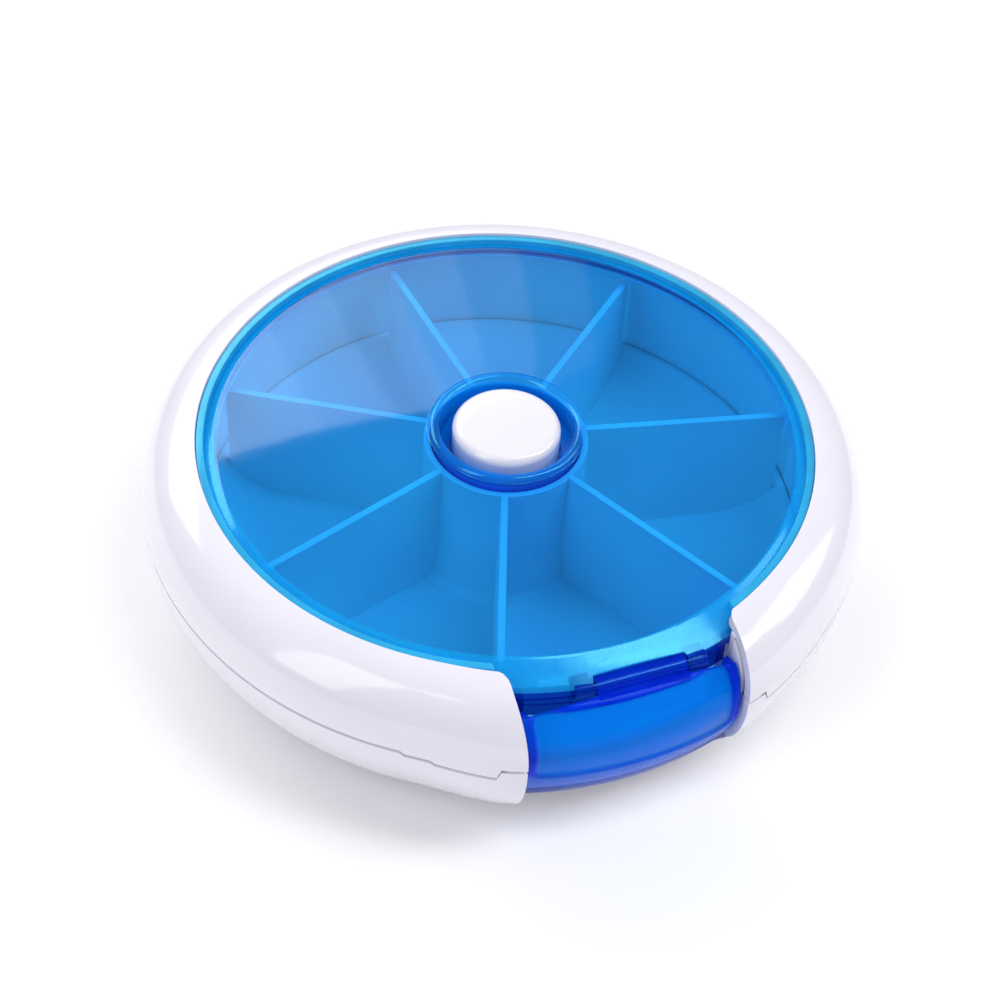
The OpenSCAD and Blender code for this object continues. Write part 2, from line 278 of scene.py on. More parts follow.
def rod(bm, radius, x0, x1, y, z):
    """A cylinder along X."""
    turn = Matrix.Translation(((x0 + x1) / 2, y, z)) @ Matrix.Rotation(math.pi / 2, 4, "Y")
    bmesh.ops.create_cone(bm, cap_ends=True, segments=32, radius1=radius, radius2=radius,
                          depth=x1 - x0, matrix=turn)


def block(bm, low, high):
    """A box between two corners."""
    size = [b - a for a, b in zip(low, high)]
    middle = [(a + b) / 2 for a, b in zip(low, high)]
    place = Matrix.Translation(middle) @ Matrix.Diagonal((*size, 1))
    bmesh.ops.create_cube(bm, size=1, matrix=place)


def rectangle(r0, r1, z0, z1):
    """A rectangular outline between two radii and two heights."""
    return [(r0, z0), (r1, z0), (r1, z1), (r0, z1)]


def drawn_in(shares, inset):
    """Shares of a way, drawn in by inset at both of its ends."""
    return [inset + (1 - 2 * inset) * share for share in shares]


def evenly(start, end, count):
    """Values from start to end in count even steps."""
    return [start + (end - start) * i / count for i in range(count + 1)]


# ---- places round the casing ----

def gap_angle(r):
    """Angle of the door gap's edge, which is flat and parallel to the door's middle."""
    return math.asin(GAP_X / max(r, GAP_NEAR_R))


def side_columns(extra=(), spacing=2.5):
    """Shares of the way from the gap's right end, round the back, to its left end.

    extra holds angles, in degrees, at which both sides get a column of their own.
    """
    first = math.degrees(gap_angle(CASING_R))
    count = round((360 - 2 * first) / spacing)
    marks = [a for angle in extra for a in (angle, 360 - angle)]
    angles = [a for a in evenly(first, 360 - first, count) if all(abs(a - mark) > 0.3 for mark in marks)]
    return [(a - first) / (360 - 2 * first) for a in sorted(angles + marks)]


def step_marks():
    """Angles at which the parting line starts and ends each of its steps."""
    return [step[0] + side * STEP_RAMP / 2 for step in STEPS for side in (-1, 1)]


def parting_height(angle):
    """Height of the parting line at an angle from the middle of the door."""
    angle = math.degrees(abs(angle))
    angle = min(angle, 360 - angle)
    height = PARTING_Z
    for mark, level in reversed(STEPS):
        share = smooth((mark - angle) / STEP_RAMP + 0.5)
        height += (level - height) * share
    return height


def flare(angle, r):
    """How far the casing swells outwards beside the door."""
    angle = (angle + math.pi) % (2 * math.pi) - math.pi
    most = FLARE_LEFT if angle < 0 else FLARE_RIGHT
    near = 1 - (abs(angle) - gap_angle(CASING_R)) / FLARE_SPAN
    in_gap = GAP_X - abs(r * math.sin(angle))
    outward = (r - FLARE_R[0]) / (FLARE_R[1] - FLARE_R[0])
    return most * smooth(near) * smooth(outward) * smooth(1 - in_gap / FLARE_END)


def bowl_radius(z, inset=0.0):
    """Radius of the bowl's wall at a height."""
    drop = max(BOWL_R - z, 0.0)
    return BOWL_C + math.sqrt((BOWL_R - inset) ** 2 - drop ** 2)


def side_angle(share, edge):
    """Angle of a column that is a share of the way round the back."""
    return edge + share * (2 * math.pi - 2 * edge)


# ---- casing ----

def base_place(column, r, z):
    """Place of a point of the base, whose rim follows the stepped parting line."""
    kind, value = column
    angle = math.asin(value / max(r, GAP_NEAR_R)) if kind == "door" else side_angle(value, gap_angle(r))
    if z > FOLD_Z:
        inner = r < CASING_R - BASE_WALL / 2
        top = parting_height(angle) - PARTING_GAP / 2
        z = FOLD_Z + (z - FOLD_Z) * (top - FOLD_Z) / (PARTING_Z - FOLD_Z)
        r = bowl_radius(z, BASE_WALL if inner else 0.0)
    return round_about(angle, r + flare(angle, r), z)


def build_base():
    """The lower half: a bowl with a flat underside, open above the sill where the door sits."""
    outside = [(0, RECESS_Z), (12, RECESS_Z), (RECESS_R - 0.3, RECESS_Z), (RECESS_R, 0), (27, 0)]
    start = math.degrees(math.asin((SILL_Z - BOWL_R) / BOWL_R))
    lower = arc(BOWL_C, BOWL_R, BOWL_R, -90, start, 8)
    upper = arc(BOWL_C, BOWL_R, BOWL_R, start, 0, 8)[1:] + [(CASING_R, PARTING_Z)]
    inner_r = BOWL_R - BASE_WALL
    inner_start = math.degrees(math.asin((SILL_Z - BOWL_R) / inner_r))
    down = [(CASING_R - BASE_WALL, PARTING_Z)] + arc(BOWL_C, BOWL_R, inner_r, 0, inner_start, 8)
    floor = arc(BOWL_C, BOWL_R, inner_r, inner_start, -90, 8)[1:] + [(12, BASE_WALL), (0, BASE_WALL)]
    outline = outside + lower + upper + down + floor
    low = len(outside + lower) - 1
    high = len(outside + lower + upper + down) - 1
    across = [("door", GAP_X * (-1 + i / 10)) for i in range(20)]
    round_back = [("side", share) for share in side_columns(step_marks())]
    bm = bmesh.new()
    sweep(bm, outline, across + round_back, base_place, closed=False, opening=(0, 20, low, high))
    groove = rectangle(CASING_R - 1.5, CASING_R - 0.5, -0.45, 0.45)
    sweep(bm, groove, drawn_in(side_columns(step_marks()), 0.003), groove_place, ring=False)
    return make_object("casing_base", bm, edge=0.16)


def groove_place(share, r, dz):
    """Place of a point of the band at the bottom of the groove between the two halves."""
    angle = side_angle(share, gap_angle(r))
    return round_about(angle, r + flare(angle, r), parting_height(angle) + dz)


def ring_place(column, r, z):
    """Place of a point of the wall round the tray, which is open at the dispensing mouth."""
    kind, value = column
    edge = math.asin(JAMB_X / r)
    return round_about(math.asin(value / r) if kind == "door" else side_angle(value, edge), r, z)


def across_place(x, r, z):
    """Place of a point at a given distance sideways from the middle of the door."""
    return round_about(math.asin(x / r), r, z)


def jamb_outline():
    """Section of the wall that closes the casing beside the door, just inside both shells."""
    heights = [SILL_Z - 1.2 + 0.9 * i for i in range(11)]
    outer = [(bowl_radius(z, BASE_WALL + SHELL_PLAY), z) for z in heights if z < BOWL_R]
    outer += arc(WINDOW_R, FLANK_Z, FLANK_R - UPPER_WALL - SHELL_PLAY, 0, 65, 8)
    inner_r, notch_r = RING_R + 0.6, BEVEL_R + 0.1
    notch = [(notch_r, outer[-1][1]), (notch_r, RING_Z - 1), (inner_r, RING_Z - 1)]
    return [(inner_r, heights[0])] + outer + notch


def build_ring():
    """The wall round the tray, with its mouth in front, the jambs, the centre boss and the post."""
    outer = RING_R + RING_WALL
    outline = [(RING_R, 3.4), (outer, 3.4), (outer, SILL_Z), (outer, RING_Z),
               (RING_R, RING_Z), (RING_R, SILL_Z)]
    across = [("door", JAMB_X * (-1 + i / 8)) for i in range(16)]
    round_back = [("side", share) for share in evenly(0, 1, 130)]
    bm = bmesh.new()
    sweep(bm, outline, across + round_back, ring_place, opening=(0, 16, 2, 5))
    for side in (-1, 1):
        ends = [side * (GAP_X + 0.05), side * (GAP_X + 1.0)]
        sweep(bm, jamb_outline(), ends, across_place, ring=False)
    bore, out = BOSS_R
    lathe(bm, [(bore, 1.5), (out, 1.5), (out, 2.3), (bore + 0.5, 2.3), (bore + 0.5, 4), (bore, 4)], 96)
    lathe(bm, [(0, 1.5), (POST_R, 1.5), (POST_R, 14), (0, 14)], 48, closed=False)
    return make_object("tray_wall", bm, edge=0.18)


def corner_angle(r):
    """Angle at which the upper shell ends beside the door, with its window corner rounded."""
    cx = GAP_X + CORNER_R
    reach = WINDOW_R + CORNER_R
    cy = math.sqrt(reach ** 2 - cx ** 2)
    tangent = math.hypot(GAP_X, cy)
    if r >= tangent:
        return gap_angle(r)
    r = max(r, WINDOW_R)
    swing = math.acos(min((r * r + reach ** 2 - CORNER_R ** 2) / (2 * r * reach), 1.0))
    return math.atan2(cx, cy) - swing


def top_place(share, r, z):
    """Place of a point of the upper shell, whose lower edge follows the stepped parting line."""
    angle = side_angle(share, corner_angle(r))
    if z < FLANK_Z:
        low = parting_height(angle) + PARTING_GAP / 2
        inner = r < CASING_R - UPPER_WALL / 2
        z = FLANK_Z - (FLANK_Z - z) * (FLANK_Z - low) / (FLANK_Z - PARTING_Z)
        r = bowl_radius(z, UPPER_WALL if inner else 0.0)
    return round_about(angle, r + flare(angle, r), z)


def build_top():
    """The upper half: a C-shaped shell whose quarter-round flank ends in the window's lip."""
    lip_r = WINDOW_R + 0.05
    crown = arc(WINDOW_R, FLANK_Z, FLANK_R, 0, 88, 22)
    under = arc(WINDOW_R, FLANK_Z, FLANK_R - UPPER_WALL, 88, 0, 18)
    outline = [(CASING_R, PARTING_Z)] + crown + [(lip_r, WINDOW_Z), (lip_r, WINDOW_Z - UPPER_WALL)]
    outline += under + [(CASING_R - UPPER_WALL, PARTING_Z)]
    bm = bmesh.new()
    sweep(bm, outline, side_columns(step_marks()), top_place, ring=False)
    shares = side_columns(spacing=4)
    sweep(bm, rectangle(*TONGUE), drawn_in(shares, 0.012), band_place, ring=False)
    sweep(bm, rectangle(*LOCATOR), shares, band_place, ring=False)
    return make_object("casing_top", bm, edge=0.28)


def band_place(share, r, z):
    """Place of a point of a plain band round the back, from one edge of the gap to the other."""
    return round_about(side_angle(share, gap_angle(r)), r, z)


# ---- cover ----

def cover_columns():
    """Columns round the cover: X positions across the door gap, then shares round the back."""
    left, right = KNUCKLE_X[0] - LUG_GAP, KNUCKLE_X[1] + LUG_GAP
    marks = [-GAP_X, left - 0.2, left, right, right + 0.2, GAP_X]
    across = []
    for a, b in zip(marks, marks[1:]):
        count = max(round((b - a) / COVER_SPACING), 1)
        across += [("door", x) for x in evenly(a, b, count)[:-1]]
    beside_gap = math.degrees(gap_angle(CASING_R)) + 0.5
    return across + [("side", share) for share in side_columns([beside_gap])]


def cover_place(column, r, z):
    """Place of a point of the cover.

    Its skirt is cut short over the door, and its edge is notched for the door's knuckle.
    """
    kind, value = column
    hold = max(r, COVER_HOLD_R)
    angle = math.asin(value / hold) if kind == "door" else side_angle(value, gap_angle(hold))
    if r < PLATE_R:
        return round_about(angle, r, z)
    if kind == "door" and abs(value) < GAP_X - 0.01:
        z = max(z, SKIRT_Z)
        if KNUCKLE_X[0] - LUG_GAP - 0.01 < value < KNUCKLE_X[1] + LUG_GAP + 0.01:
            reach = -(HINGE_Y + 0.5) / math.cos(angle)
            before = r
            r = PLATE_R + (r - PLATE_R) * (reach - PLATE_R) / (BEVEL_R - PLATE_R)
            if z > BEVEL_Z - 0.01:
                z += (before - r) * BEVEL_FALL
            z = max(z, BEVEL_Z - COVER_T - 0.1)
    return round_about(angle, r, z)


def cover_outline():
    """Section of the cover: well floor, well wall with its bead, plate, bevel and skirt."""
    well_out = WELL_R + WELL_WALL
    plate_start = WELL_R + 2 * BEAD_R + 0.05
    top = [(HOLE_R, WELL_Z), (WELL_R, WELL_Z)]
    top += arc(WELL_R + BEAD_R, COLLAR_Z - 0.05, BEAD_R, 180, 4, 12)
    top += [(plate_start + 0.1, COLLAR_Z - 0.03), (16, COLLAR_Z - 0.19), (25, COLLAR_Z - 0.42),
            (PLATE_R - 0.35, PLATE_Z + 0.01), (PLATE_R, PLATE_Z),
            (PLATE_R + 0.35, PLATE_Z - 0.35 * BEVEL_FALL),
            ((PLATE_R + BEVEL_R) / 2, (PLATE_Z + BEVEL_Z) / 2), (BEVEL_R, BEVEL_Z)]
    under_z = BEVEL_Z - COVER_T - 0.1 + BEVEL_FALL * COVER_T
    skirt_z = RING_Z + 0.02
    under = [(BEVEL_R, skirt_z), (BEVEL_R - COVER_T, skirt_z), (BEVEL_R - COVER_T, under_z),
             (PLATE_R - 0.3, PLATE_Z - COVER_T), (22, COLLAR_Z - COVER_T - 0.35),
             (well_out, COLLAR_Z - COVER_T), (well_out, WELL_Z - 1), (HOLE_R, WELL_Z - 1)]
    return top + under


def build_cover():
    """The clear round window with its collar, the well round the button and the hinge's two lugs."""
    bm = bmesh.new()
    sweep(bm, cover_outline(), cover_columns(), cover_place)
    rim = rectangle(RIM[0], RIM[1], BEVEL_Z + 0.2, RIM[2])
    sweep(bm, rim, drawn_in(side_columns(), 0.006), band_place, ring=False)
    # the apron hides the slit above the door: it runs under the knuckle and rises beside the lugs;
    # build_pieces paints it navy, as painted shade
    spans = ((-APRON_X, APRON_X, APRON_Z, APRON_STEP_Z),
             (-APRON_X, KNUCKLE_X[0] - LUG_REACH, APRON_STEP_Z - 0.1, RING_Z + 0.2),
             (KNUCKLE_X[1] + LUG_REACH, APRON_X, APRON_STEP_Z - 0.1, RING_Z + 0.2))
    for x0, x1, z0, z1 in spans:
        apron = rectangle(BEVEL_R - APRON_T, BEVEL_R, z0, z1)
        columns = evenly(x0, x1, math.ceil((x1 - x0) / COVER_SPACING))
        sweep(bm, apron, columns, across_place, ring=False)
    cover = make_object("clear_cover", bm, edge=0.14, crease=38)
    bm = bmesh.new()
    for x0 in (KNUCKLE_X[0] - LUG_REACH, KNUCKLE_X[1] + LUG_GAP):
        rod(bm, KNUCKLE_R, x0, x0 + LUG_W, HINGE_Y, HINGE_Z)
        block(bm, (x0 + 0.02, HINGE_Y, HINGE_Z), (x0 + LUG_W - 0.02, HINGE_Y + 1.6, BEVEL_Z))
    lugs = make_object("cover_hinge_lugs", bm, edge=0.12)
    return cover, lugs


# ---- door ----

def pane_depth(x, z):
    """How deep the door's panel lies at a point: a shallow recess with round corners."""
    middle = (PANE_Z[0] + PANE_Z[1]) / 2
    half = (PANE_Z[1] - PANE_Z[0]) / 2
    dx = abs(x) - PANE_X + PANE_CORNER
    dz = abs(z - middle) - half + PANE_CORNER
    outside = math.hypot(max(dx, 0), max(dz, 0)) + min(max(dx, dz), 0) - PANE_CORNER
    deeper = PANE_STEP * smooth((z - PANE_LINE_Z) / 0.4)
    return (PANE_DEPTH + deeper) * smooth(0.5 - outside / 0.5)


def door_surface(z, inset):
    """Radius of the door's surface at a height, inset from its outer face."""
    centre = DOOR_TOP_C if z > BOWL_R else BOWL_C
    radius = DOOR_R - centre - inset
    return centre + math.sqrt(max(radius ** 2 - (z - BOWL_R) ** 2, 0.0))


def hinge_clear(z):
    """Y that the door stays in front of at a height, so that it swings clear of the lugs.

    It is 0, which is no limit, at heights that the hinge doesn't reach.
    """
    room = SWING_R ** 2 - (z - HINGE_Z) ** 2
    return HINGE_Y - math.sqrt(room) if room > 0 else 0.0


def front_y(x, r):
    """Y of a point in front of the axis, from its X and its radius."""
    return -math.sqrt(r * r - x * x)


def door_y(x, r, z):
    """Y of a point of the door that would lie at radius r, kept clear of the hinge."""
    return min(front_y(x, r), hinge_clear(z))


def door_top(x):
    """Height of the door's top edge, which dips at the sides, where the curve nears the hinge."""
    z = DOOR_TOP_Z
    while front_y(x, door_surface(z, 0)) > hinge_clear(z) - DOOR_EDGE_T:
        z -= 0.02
    return z


def build_door():
    """The clear curved door: a frame with side and bottom flanges, a shallow panel and a knuckle."""
    rows = 38
    edge_rows = 6
    floor_z = DOOR_Z + DOOR_WALL
    bm = bmesh.new()
    rings = []
    for x in evenly(-DOOR_X, DOOR_X, 64):
        flange = abs(x) > DOOR_X - DOOR_SIDE
        ring = []
        top_z = door_top(x)
        for z in evenly(DOOR_Z, top_z, rows):
            y = front_y(x, max(door_surface(z, pane_depth(x, z)), DOOR_EDGE_R + 0.1))
            ring.append((min(y, hinge_clear(z) - DOOR_EDGE_T / 2), z))
        for z in evenly(top_z, DOOR_INNER_TOP_Z, edge_rows)[:-1]:
            ring.append((door_y(x, DOOR_EDGE_R, z), z))
        for z in evenly(DOOR_INNER_TOP_Z, floor_z, rows):
            r = DOOR_EDGE_R if flange else max(door_surface(z, DOOR_WALL), DOOR_EDGE_R)
            ring.append((door_y(x, r, z), z))
        ring += [(door_y(x, DOOR_EDGE_R - 0.25, z), z) for z in (floor_z, DOOR_Z)]
        rings.append([bm.verts.new((x, y, z)) for y, z in ring])
    skin(bm, rings)
    door = make_object("dispensing_door", bm, edge=0.12, crease=42)
    bm = bmesh.new()
    rod(bm, KNUCKLE_R, KNUCKLE_X[0], KNUCKLE_X[1], HINGE_Y, HINGE_Z)
    block(bm, (KNUCKLE_X[0] + 0.02, HINGE_Y - 2, HINGE_Z - 1.05),
          (KNUCKLE_X[1] - 0.02, HINGE_Y, HINGE_Z + 0.1))
    knuckle = make_object("door_knuckle", bm, edge=0.12)
    return door, knuckle


def build_pin():
    """The hinge pin, with rounded ends."""
    bm = bmesh.new()
    rod(bm, PIN_R, node_low("door_hinge_pin").x, node_high("door_hinge_pin").x, HINGE_Y, HINGE_Z)
    return make_object("hinge_pin", bm, edge=0.12)


# ---- tray ----

def build_tray():
    """The turning tray: a scooped floor, a hub and the dividers between compartments."""
    bm = bmesh.new()
    scoop_z = TRAY_FLOOR + SCOOP_R
    rim_z = 7.9
    rim_angle = math.degrees(math.asin((rim_z - scoop_z) / SCOOP_R))
    under_r = SCOOP_R + TRAY_FLOOR - TRAY_LOW
    edge_angle = math.degrees(math.acos((FLOOR_R - SCOOP_C) / under_r))
    scoop = arc(SCOOP_C, scoop_z, SCOOP_R, -90, rim_angle, 10)
    outline = [(TRAY_BORE, TRAY_LOW), (SCOOP_C - 2, TRAY_LOW)]
    outline += arc(SCOOP_C, scoop_z, under_r, -90, -edge_angle, 8)
    outline += [(FLOOR_R, rim_z)] + [point for point in reversed(scoop) if point[0] < FLOOR_R]
    outline += [(FOOT_R + 0.9, TRAY_FLOOR), (FOOT_R - 0.1, TRAY_FLOOR + 0.9), (HUB_R, 10),
                (HUB_R, HUB_TOP), (HUB_BORE, HUB_TOP), (HUB_BORE, TRAY_FLOOR), (TRAY_BORE, TRAY_FLOOR)]
    lathe(bm, outline, 140)
    for i in range(COMPARTMENTS):
        add_divider(bm, math.pi + TRAY_LEAD + 2 * math.pi * i / COMPARTMENTS)
    return make_object("tray_wheel", bm, edge=0.2, crease=36)


def add_divider(bm, angle):
    """One divider, from the hub to its free end, a little thicker at its foot."""
    start = HUB_R - 0.4
    foot_z = TRAY_LOW + 0.3
    hub_z = HUB_TOP + 0.1
    low = [(start, foot_z), (SCOOP_C - 2, foot_z)]
    low += arc(SCOOP_C, TRAY_FLOOR + SCOOP_R, SCOOP_R + 0.7, -90, -46, 6)
    outline = [point for point in low if point[0] < DIVIDER_R] + [(DIVIDER_R, 6.1)]
    for r in evenly(DIVIDER_R, start, 8):
        outline.append((r, hub_z + (DIVIDER_OUT_Z - hub_z) * (r - start) / (DIVIDER_R - start)))
    along = Vector((math.sin(angle), -math.cos(angle), 0))
    across = Vector((math.cos(angle), math.sin(angle), 0))
    sides = ([], [])
    for side, ring in zip((-1, 1), sides):
        for r, z in outline:
            half = DIVIDER_T / 2 * (1.25 - 0.35 * (z - TRAY_LOW) / (HUB_TOP - TRAY_LOW))
            ring.append(bm.verts.new(along * r + across * (half * side) + Vector((0, 0, z))))
    skin(bm, sides)


# ---- button ----

def build_button():
    """The push button: a hollow cap with a softly crowned top and a flange that holds it in."""
    edge_c = BUTTON_R - BUTTON_EDGE
    flange_z = WELL_Z - 1.05
    crown = [(0, BUTTON_Z), (2.5, BUTTON_Z - 0.02), (4.4, BUTTON_Z - 0.06)]
    outline = crown + arc(edge_c, BUTTON_Z - BUTTON_EDGE - 0.08, BUTTON_EDGE, 86, 0, 10)
    outline += [(BUTTON_R, flange_z), (FLANGE_R, flange_z), (FLANGE_R, flange_z - FLANGE_T),
                (BUTTON_BORE, flange_z - FLANGE_T), (BUTTON_BORE, BUTTON_Z - 1.5), (0, BUTTON_Z - 1.5)]
    bm = bmesh.new()
    lathe(bm, outline, 128, closed=False)
    return make_object("push_button", bm, edge=0.1, crease=45)


# ---- pieces inside ----

def build_spring():
    """The return spring: a round wire wound in an even coil."""
    low, high = node_low("return_spring").z, node_high("return_spring").z
    curve = bpy.data.curves.new("coil_spring", "CURVE")
    curve.dimensions = "3D"
    curve.bevel_depth = COIL_WIRE * MM
    curve.bevel_resolution = 4
    curve.use_fill_caps = True
    count = round(COIL_TURNS * COIL_POINTS)
    spline = curve.splines.new("POLY")
    spline.points.add(count)
    for i, point in enumerate(spline.points):
        angle = 2 * math.pi * COIL_TURNS * i / count
        z = low + COIL_WIRE + (high - low - 2 * COIL_WIRE) * i / count
        point.co = (COIL_R * math.cos(angle) * MM, COIL_R * math.sin(angle) * MM, z * MM, 1)
    piece = bpy.data.objects.new("coil_spring", curve)
    bpy.context.scene.collection.objects.link(piece)
    return piece


def softened(node, name, edge):
    """A copy of a CAD node with its edges rounded by edge, or kept as they are if it is 0."""
    bm = bmesh.new()
    bm.from_mesh(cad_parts[node].data)
    bmesh.ops.scale(bm, vec=(1 / MM, 1 / MM, 1 / MM), verts=bm.verts)
    bmesh.ops.remove_doubles(bm, verts=bm.verts, dist=1e-3)
    bmesh.ops.dissolve_limit(bm, angle_limit=math.radians(1), verts=bm.verts, edges=bm.edges)
    return make_object(name, bm, edge=edge)


# ---- materials ----

def add_node(tree, kind, **values):
    """A shader node, with its properties and input values set by name."""
    made = tree.nodes.new("ShaderNode" + kind)
    for key, value in values.items():
        label = key.replace("_", " ")
        if label in made.inputs:
            made.inputs[label].default_value = value
        else:
            setattr(made, key, value)
    return made


def start_material(name):
    """An empty node material and its output."""
    material = bpy.data.materials.new(name)
    material.use_nodes = True
    tree = material.node_tree
    tree.nodes.clear()
    return material, tree, add_node(tree, "OutputMaterial")


def noise_at(tree, size, detail=2.0):
    """A noise whose features are about size millimetres."""
    coords = add_node(tree, "TexCoord")
    noise = add_node(tree, "TexNoise", Scale=1 / (size * MM), Detail=detail)
    tree.links.new(coords.outputs["Object"], noise.inputs["Vector"])
    return noise.outputs["Fac"]


def spread(tree, source, low, high):
    """Maps the middle of a noise to the range from low to high."""
    mapped = add_node(tree, "MapRange", From_Min=0.3, From_Max=0.7, To_Min=low, To_Max=high)
    tree.links.new(source, mapped.inputs["Value"])
    return mapped.outputs["Result"]


def bump(tree, source, height, strength=0.5):
    """A bump of the given height in millimetres."""
    made = add_node(tree, "Bump", Strength=strength, Distance=height * MM)
    tree.links.new(source, made.inputs["Height"])
    return made.outputs["Normal"]


def mix_colours(tree, source, first, second):
    """Mixes two colours, or the outputs of two nodes, by a share."""
    made = add_node(tree, "Mix", data_type="RGBA")
    tree.links.new(source, made.inputs[0])
    for socket, value in ((made.inputs[6], first), (made.inputs[7], second)):
        if isinstance(value, tuple):
            socket.default_value = (*value, 1)
        else:
            tree.links.new(value, socket)
    return made.outputs[2]


def mix_shaders(tree, share, first, second):
    """Mixes the shaders of two nodes by a share, which is a number or an output."""
    mix = add_node(tree, "MixShader")
    if isinstance(share, float):
        mix.inputs[0].default_value = share
    else:
        tree.links.new(share, mix.inputs[0])
    tree.links.new(first.outputs[0], mix.inputs[1])
    tree.links.new(second.outputs[0], mix.inputs[2])
    return mix


def maths(tree, operation, *values):
    """The result of an operation on numbers and outputs."""
    made = add_node(tree, "Math", operation=operation)
    for socket, value in zip(made.inputs, values):
        if isinstance(value, float):
            socket.default_value = value
        else:
            tree.links.new(value, socket)
    return made.outputs[0]


def plastic(name, colour, roughness, grain_height=0.004, coat=0.0):
    """Moulded plastic: a faint drift of tone, uneven gloss and a fine grain from the mould."""
    material, tree, out = start_material(name)
    shader = add_node(tree, "BsdfPrincipled", IOR=1.49, Specular_IOR_Level=0.5 - 0.3 * coat,
                      Coat_Weight=coat, Coat_Roughness=0.1)
    deeper = tuple(c * 0.965 for c in colour)
    drift = spread(tree, noise_at(tree, 14, 3), 0, 1)
    tree.links.new(mix_colours(tree, drift, colour, deeper), shader.inputs["Base Color"])
    uneven = noise_at(tree, 5, 4)
    tree.links.new(spread(tree, uneven, roughness - 0.04, roughness + 0.05), shader.inputs["Roughness"])
    tree.links.new(bump(tree, noise_at(tree, GRAIN, 2), grain_height), shader.inputs["Normal"])
    tree.links.new(shader.outputs[0], out.inputs[0])
    return material


def tinted_window(tree, tint):
    """Lets light through a face and colours it, with a faint drift of tone."""
    window = add_node(tree, "BsdfTransparent")
    drift = spread(tree, noise_at(tree, 18, 2), 0, 1)
    paler = tuple(min(c * 1.05, 1.0) for c in tint)
    tree.links.new(mix_colours(tree, drift, tint, paler), window.inputs["Color"])
    return window


def clear_plastic(name, tint):
    """Clear tinted plastic: each face passes light through its tint and mirrors a little of it."""
    mirror, head_on, at_grazing, roughness = (0.9, 0.95, 1.0), 0.035, 0.8, 0.03
    material, tree, out = start_material(name)
    window = tinted_window(tree, tint)
    gloss = add_node(tree, "BsdfPrincipled", Metallic=1.0, Base_Color=(*mirror, 1))
    scuffs = noise_at(tree, 0.7, 5)
    tree.links.new(spread(tree, scuffs, roughness, roughness + 0.03), gloss.inputs["Roughness"])
    tree.links.new(bump(tree, noise_at(tree, 9, 2), 0.02, 0.3), gloss.inputs["Normal"])
    facing = add_node(tree, "LayerWeight", Blend=0.5).outputs["Facing"]
    share = maths(tree, "MULTIPLY_ADD", maths(tree, "POWER", facing, 4.0), at_grazing, head_on)
    behind = add_node(tree, "NewGeometry").outputs["Backfacing"]
    share = maths(tree, "MULTIPLY", share, maths(tree, "SUBTRACT", 1.0, behind))
    tree.links.new(mix_shaders(tree, share, window, gloss).outputs[0], out.inputs[0])
    return material


def pane_share(tree):
    """1 inside the outline of the door's panel and 0 outside it, from the place on the door."""
    coords = add_node(tree, "TexCoord")
    middle = (PANE_Z[0] + PANE_Z[1]) / 2
    half = (PANE_Z[1] - PANE_Z[0]) / 2
    straight = ((PANE_X - PANE_CORNER) * MM, 0, (half - PANE_CORNER) * MM)
    steps = (("SUBTRACT", (0, 0, middle * MM)), ("MULTIPLY", (1, 0, 1)), ("ABSOLUTE", None),
             ("SUBTRACT", straight), ("MAXIMUM", (0, 0, 0)), ("LENGTH", None))
    source = coords.outputs["Object"]
    for operation, value in steps:
        step = add_node(tree, "VectorMath", operation=operation)
        tree.links.new(source, step.inputs[0])
        if value is not None:
            step.inputs[1].default_value = value
        source = step.outputs["Value" if operation == "LENGTH" else "Vector"]
    share = add_node(tree, "MapRange", interpolation_type="SMOOTHSTEP",
                     From_Min=(PANE_CORNER + 0.1) * MM, From_Max=(PANE_CORNER - 0.3) * MM)
    tree.links.new(source, share.inputs["Value"])
    return share.outputs["Result"]


def height_share(tree, low, high):
    """0 below one height and 1 above another, in millimetres."""
    coords = add_node(tree, "TexCoord")
    parts = add_node(tree, "SeparateXYZ")
    tree.links.new(coords.outputs["Object"], parts.inputs[0])
    share = add_node(tree, "MapRange", From_Min=low * MM, From_Max=high * MM)
    tree.links.new(parts.outputs["Z"], share.inputs["Value"])
    return share.outputs["Result"]


def plastic_with_painted_shading(name, tint, colours, body=0.5, roughness=0.12, shine=(0.25, 0.5, 1.0), level=0.17):
    """Tinted plastic with a painted body colour: part of the light passes through, and the rest comes
    back in the given colour, which is painted light and shade standing in for how light falls on that
    part of the clear plastic.

    colours is one colour, or those of the door's frame, lower lip, panel and the strip along its top.
    shine is the colour of its highlights, and level is their strength.
    """
    material, tree, out = start_material(name)
    window = tinted_window(tree, tint)
    shader = add_node(tree, "BsdfPrincipled", IOR=1.8, Specular_IOR_Level=level,
                      Specular_Tint=(*shine, 1))
    if len(colours) == 1:
        drift = spread(tree, noise_at(tree, 6, 2), 0, 1)
        base = mix_colours(tree, drift, colours[0], tuple(c * 0.85 for c in colours[0]))
    else:
        frame_colour, lip, panel, strip = colours
        above_lip = height_share(tree, PANE_Z[0] - 0.5, PANE_Z[0] + 0.8)
        edge = mix_colours(tree, above_lip, lip, frame_colour)
        # The strip along the panel's top gets a painted-light tone.
        above_line = height_share(tree, PANE_LINE_Z - 0.1, PANE_LINE_Z + 0.25)
        middle = mix_colours(tree, above_line, panel, strip)
        base = mix_colours(tree, pane_share(tree), edge, middle)
    tree.links.new(base, shader.inputs["Base Color"])
    uneven = spread(tree, noise_at(tree, 3, 3), roughness, roughness + 0.06)
    tree.links.new(uneven, shader.inputs["Roughness"])
    tree.links.new(bump(tree, noise_at(tree, 9, 2), 0.02, 0.3), shader.inputs["Normal"])
    tree.links.new(mix_shaders(tree, body, window, shader).outputs[0], out.inputs[0])
    return material


